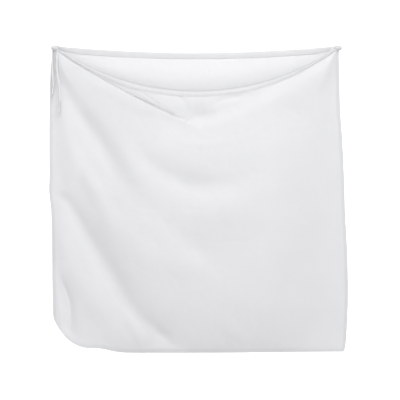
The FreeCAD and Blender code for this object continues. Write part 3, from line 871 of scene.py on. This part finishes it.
def even_line(line, step):
    """Points about a step apart along a line, and how far along it each is."""
    gaps = np.linalg.norm(np.diff(line, axis=0), axis=1)
    at = np.concatenate([[0], np.cumsum(gaps)])
    count = max(4, int(round(at[-1] / step)) + 1)
    wanted = np.linspace(0, at[-1], count)
    return np.stack([np.interp(wanted, at, line[:, i]) for i in range(3)], 1), wanted


def tube(line, radius, sides=20, step=0.45, braid=0.07, frayed=(0, 0)):
    """A braided cord's mesh along a line: its surface rises where strands cross over. frayed
    rounds off each end over that length."""
    line, along = even_line(np.asarray(line, float), step)
    _, side, other = frames_along(line)
    ring = np.linspace(0, TURN, sides, endpoint=False)
    phase = along[:, None] * TURN / BRAID_PITCH
    over = np.maximum(np.sin(phase + 4 * ring), np.sin(phase - 4 * ring))
    size = radius * (1 - braid * 0.6 + braid * over)
    for reach, gap in zip(frayed, (along, along[-1] - along)):
        if reach:
            size *= np.sqrt(np.clip(1 - (1 - np.clip(gap / reach, 0.04, 1)) ** 2, 0, 1))[:, None]
    cosine, sine = np.cos(ring)[None, :, None], np.sin(ring)[None, :, None]
    loop = cosine * side[:, None] + sine * other[:, None]
    points = line[:, None] + loop * size[..., None]
    return points, tube_faces(len(line), sides), ring_uvs(along[:, None], (ring / TURN)[None])


def spline_line(name, route):
    """Points along the NURBS spline whose control points are the route, in metres."""
    curve = bpy.data.curves.new(f"{name}_route", "CURVE")
    curve.dimensions = "3D"
    curve.resolution_u = 24
    spline = curve.splines.new("NURBS")
    spline.points.add(len(route) - 1)
    for point, place in zip(spline.points, route):
        point.co = (*place, 1.0)
    spline.order_u = 3
    spline.use_endpoint_u = True
    carrier = bpy.data.objects.new(f"{name}_route", curve)
    bpy.context.scene.collection.objects.link(carrier)
    mesh = bpy.data.meshes.new_from_object(carrier)
    line = [tuple(v.co) for v in mesh.vertices]
    bpy.data.objects.remove(carrier)
    bpy.data.meshes.remove(mesh)
    bpy.data.curves.remove(curve)
    return line


# The drawstring's radius, and a knot's: there it is pulled tight.
CORD_RADIUS = 1.8
KNOT_RADIUS = 1.62
# The tails' control points in metres, the same as the CAD's, from the exit to the knot.
EXIT_Z = -0.0083
TAIL_ROUTES = {
    "left": [(-0.0034, -0.0065, EXIT_Z), (-0.0037, -0.0078, -0.026),
             (-0.0029, -0.0088, -0.048), (-0.0014, -0.0094, -0.0695)],
    "right": [(0.0065, -0.009, EXIT_Z), (0.0061, -0.012, -0.029), (0.0066, -0.0144, -0.050),
              (0.0096, -0.0156, -0.068), (0.0123, -0.0162, -0.084),
              (0.0129, -0.0164, -0.1005)],
}
# And from under the knot to the frayed end.
TAIL_ENDS = {
    "left": [(-0.0014, -0.0094, -0.0786), (-0.0020, -0.0095, -0.087),
             (-0.0036, -0.0096, -0.095)],
    "right": [(0.0129, -0.0164, -0.1096), (0.0123, -0.0165, -0.120),
              (0.0099, -0.0166, -0.131)],
}


def overhand_knot(top, bottom):
    """The line of an overhand knot pulled snug between two points of a cord."""
    top, bottom = np.array(top), np.array(bottom)
    t = np.linspace(0, 1, 140)
    turn = TURN * (1.02 * t - 0.25)
    loop = np.sin(np.pi * t) ** 0.6
    x = 2.05 * loop * (np.sin(turn) * 0.55 + 0.6 * np.sin(2 * turn + 0.9))
    y = 2.05 * loop * (np.cos(turn) * 0.7 - 0.5 * np.cos(2 * turn + 0.4))
    wander = 0.42 * np.sin(2 * np.pi * 1.5 * t) * loop
    level = np.clip(t + wander, -0.02, 1.02)
    line = top + (bottom - top) * level[:, None]
    line[:, 0] += x
    line[:, 1] += y
    return line


def build_tail(side):
    """One hanging end of the drawstring: its cord, its knot and its frayed end."""
    line = spline_line(f"{side}_tail", TAIL_ROUTES[side])
    points, faces, uvs = tube(np.array(line) / MM, CORD_RADIUS)
    cord = make_piece(f"{side}_tail", points, faces, uvs)
    finish_piece(cord, None, "drawstring", CORD, f"{side}_tail_cord")
    top = np.array(TAIL_ROUTES[side][-1]) / MM
    end_line = np.array(spline_line(f"{side}_end", TAIL_ENDS[side])) / MM
    knot_line = overhand_knot(top + (0, 0, 0.8), end_line[0] - (0, 0, 0.8))
    points, faces, uvs = tube(knot_line, KNOT_RADIUS, sides=16, step=0.35)
    knot = make_piece(f"{side}_knot", points, faces, uvs)
    finish_piece(knot, f"{side}_tail_tip", "drawstring", CORD, f"{side}_tail_knot")
    points, faces, uvs = tube(end_line, CORD_RADIUS * 0.97, frayed=(0, 1.2))
    end = make_piece(f"{side}_end", points, faces, uvs)
    finish_piece(end, f"{side}_tail_tip", "drawstring", CORD, f"{side}_tail_end")
    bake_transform(cord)


# ------ corners


def build_bunch(side, start_x):
    """The casing's end, bunched up at a hanging corner: pleats that run along it, pinched
    where the bar of stitches crosses it."""
    width, depth, rise, drop = 18.0, 12.0, 4.0, 8.0
    rows, columns = 46, 72
    t = np.linspace(0, 1, rows)[:, None]
    ring = np.linspace(0, TURN, columns, endpoint=False)[None]
    seed = 3 if side == "left" else 4
    end = np.sqrt(np.clip(1 - np.abs(2 * t - 1) ** 3.2, 0.02, 1))
    waist = 1 - 0.10 * np.exp(-((t - 0.5) / 0.2) ** 2)
    pleat = 0.085 * waves(seed, ring / TURN * 30 + 2.0 * t, 2.6, 11)
    pleat *= smoothstep(0, 0.15, t) * smoothstep(0, 0.15, 1 - t)
    size = end * waist * (1 + pleat)
    tall = (rise + drop) / 2
    x = np.broadcast_to(start_x + width * t, size.shape)
    y = -depth / 2 + depth / 2 * 0.94 * size * np.cos(ring)
    z = (rise - drop) / 2 + tall * 0.94 * size * np.sin(ring)
    points = np.stack([x, y, z], 2)
    uvs = ring_uvs(width * t, ring / TURN * 0.04)
    piece = make_piece(f"{side}_bunch", points, tube_faces(rows, columns), uvs)
    mark(piece, "thick_and_painted_shade", np.full(rows * columns, 0.5))
    finish_piece(piece, "bag", "hem_cloth", HEM_CLOTH, f"{side}_casing_end")

    # The bar is a zigzag of thread across the bunch's front.
    steps, bar_width, bar_y, bar_z = 44, 9.0, -11.3, -1.0
    zig = np.arange(steps)
    bar_x = start_x + width / 2 - bar_width / 2 + bar_width * zig / (steps - 1)
    line = np.stack([bar_x, np.full(steps, bar_y), bar_z + np.where(zig % 2, 1.0, -1.0)], 1)
    parts = tube(line, 0.24, sides=8, step=0.25, braid=0.0)
    bar = make_piece(f"{side}_bar", *parts)
    finish_piece(bar, "bag", "sewing_thread", THREAD, f"{side}_bartack")


# ------ seams inside the bag


def edge_line(edge):
    """The panel's edge, from its top round to its bottom, and the direction inwards."""
    if edge == "left_side":
        z = np.linspace(-16, -528, 200)
        line = np.stack([left_x(z), z], 1)
        corner = np.linspace(-2.9, 60, 40)
        line = np.vstack([line, np.stack([corner, bottom_z(corner)], 1)])
    elif edge == "right_side":
        z = np.linspace(-16, -606, 220)
        line = np.stack([right_x(z), z], 1)
    else:
        x = np.linspace(62, 572, 200)
        line = np.stack([x, bottom_z(x)], 1)
    ahead = np.gradient(line, axis=0)
    ahead /= np.linalg.norm(ahead, axis=1, keepdims=True)
    inward = np.stack([-ahead[:, 1], ahead[:, 0]], 1)
    if edge == "right_side":
        inward = -inward
    return line, inward


# The overlock thread takes a turn round the allowance's raw edge in this length.
OVERLOCK_PITCH = 3.0


def build_seam(edge):
    """The seam allowance turned inside the bag, and the overlock thread along its raw edge."""
    line, inward = edge_line(edge)
    rows = len(line)
    # The allowance's section: how far inside the edge, and Y.
    across = [(0.6, -0.25), (2.5, -0.15), (5.0, -0.15), (8.0, -0.25), (8.0, -1.1), (5.0, -1.2),
              (2.5, -1.2), (0.6, -1.1)]
    points = np.zeros((rows, len(across), 3))
    for c, (inside, y) in enumerate(across):
        flat = line + inward * inside
        points[:, c] = np.stack([flat[:, 0], np.full(rows, y), flat[:, 1]], 1)
    faces = tube_faces(rows, len(across), flip=edge == "right_side")
    uvs = points[..., [0, 2]] * MM
    strip = make_piece(f"{edge}_allowance", points, faces, uvs, smooth=False)
    finish_piece(strip, "bag", "hem_cloth", HEM_CLOTH, f"{edge}_seam")

    raw = line + inward * 7.6
    raw = np.stack([raw[:, 0], np.full(rows, -0.65), raw[:, 1]], 1)
    even, along = even_line(raw, 0.75)
    _, side, other = frames_along(even)
    wind = along * TURN / OVERLOCK_PITCH
    thread = even + side * (np.cos(wind) * 1.15)[:, None] + other * (np.sin(wind) * 0.75)[:, None]
    thread[:, 1] = np.clip(thread[:, 1], -1.35, -0.1)
    wound = make_piece(f"{edge}_whipping", *tube(thread, 0.2, sides=5, step=0.6, braid=0.0))
    finish_piece(wound, "bag", "sewing_thread", THREAD, f"{edge}_overlock")


# ------ the studio


# The floor, the wall behind the bag and the bend between them, the backdrop's half width and
# its top.
FLOOR_Z = -1900.0
WALL_Y = 4800.0
BEND = 500.0
HALF_WIDTH = 30000.0
WALL_TOP = 9000.0
# In metres: where the camera and the lights look, how far off the camera stands, and how wide
# the view is there.
AIM = Vector((0.292, -0.02, -0.306))
CAMERA_DISTANCE = 3.0
VIEW_WIDTH = 0.796
SENSOR = 36.0
# Each light's name, place in metres, size in metres and power in watts.
LIGHTS = [
    ("key", (0.62, -2.1, 2.2), 2.0, 90.0),
    ("fill", (-1.0, -3.2, -0.8), 2.4, 16.0),
]


def build_studio():
    """An even white surround, a pale backdrop, two soft lights and the camera."""
    scene = bpy.context.scene
    scene.view_settings.view_transform = "Standard"
    world = bpy.data.worlds.new("studio")
    world.use_nodes = True
    background = world.node_tree.nodes["Background"]
    background.inputs["Color"].default_value = (1, 1, 1, 1)
    rays = world.node_tree.nodes.new("ShaderNodeLightPath")
    brightness = world.node_tree.nodes.new("ShaderNodeMapRange")
    # The surround looks brighter to the camera than the light it gives.
    brightness.inputs["To Min"].default_value = 0.42
    brightness.inputs["To Max"].default_value = 0.85
    world.node_tree.links.new(rays.outputs["Is Camera Ray"], brightness.inputs["Value"])
    world.node_tree.links.new(brightness.outputs["Result"], background.inputs["Strength"])
    scene.world = world

    white = Nodes("backdrop_paper")
    white.shader.inputs["Base Color"].default_value = (0.9, 0.9, 0.9, 1)
    white.shader.inputs["Roughness"].default_value = 0.9
    white.shader.inputs["Emission Color"].default_value = (1, 1, 1, 1)
    place = white.add("ShaderNodeTexCoord").outputs["Object"]
    height = white.add("ShaderNodeSeparateXYZ", Vector=place).outputs["Z"]
    glow = white.add("ShaderNodeMapRange", Value=height)
    limits = {"From Min": -1.9, "From Max": -1.45, "To Min": 0.12, "To Max": 0.95}
    for socket, value in limits.items():
        glow.inputs[socket].default_value = value
    white.set("Emission Strength", glow.outputs["Result"])
    profile = [(-HALF_WIDTH, FLOOR_Z), (WALL_Y - BEND, FLOOR_Z)]
    for a in np.linspace(0, math.pi / 2, 12)[1:]:
        profile.append((WALL_Y - BEND + BEND * math.sin(a), FLOOR_Z + BEND - BEND * math.cos(a)))
    profile.append((WALL_Y, WALL_TOP))
    points = [(x, y, z) for y, z in profile for x in (-HALF_WIDTH, HALF_WIDTH + SPAN)]
    faces = grid_faces(len(profile), 2, flip=True)
    backdrop = make_piece("backdrop", points, faces)
    backdrop.data.materials.append(white.material)

    for name, place, size, power in LIGHTS:
        light = bpy.data.lights.new(name, "AREA")
        light.shape = "SQUARE"
        light.size = size
        light.energy = power
        lamp = bpy.data.objects.new(name, light)
        lamp.location = place
        lamp.rotation_euler = (AIM - Vector(place)).to_track_quat("-Z", "Y").to_euler()
        scene.collection.objects.link(lamp)

    camera = bpy.data.cameras.new("camera")
    camera.sensor_width = SENSOR
    camera.lens = SENSOR * CAMERA_DISTANCE / VIEW_WIDTH
    eye = bpy.data.objects.new("camera", camera)
    eye.location = AIM - Vector((0, CAMERA_DISTANCE, 0))
    eye.rotation_euler = (math.radians(90), 0, 0)
    scene.collection.objects.link(eye)
    scene.camera = eye


build_studio()
build_front()
build_back()
build_casing("front_hem", True, "front_casing", "front_rim")
build_casing("back_hem", False, "back_casing", "bag")
build_run("front_run", True, "drawstring_front_run", "front_rim")
build_run("back_run", False, "drawstring_back_run", "bag")
build_hem_stitching("front_stitches", True, "front_hem_stitching", "front_rim")
build_hem_stitching("back_stitches", False, "back_hem_stitching", "bag")
build_bunch("left", -6.0)
build_bunch("right", 558.0)
for edge_name in ("left_side", "right_side", "bottom"):
    build_seam(edge_name)
for tail_side in ("left", "right"):
    build_tail(tail_side)
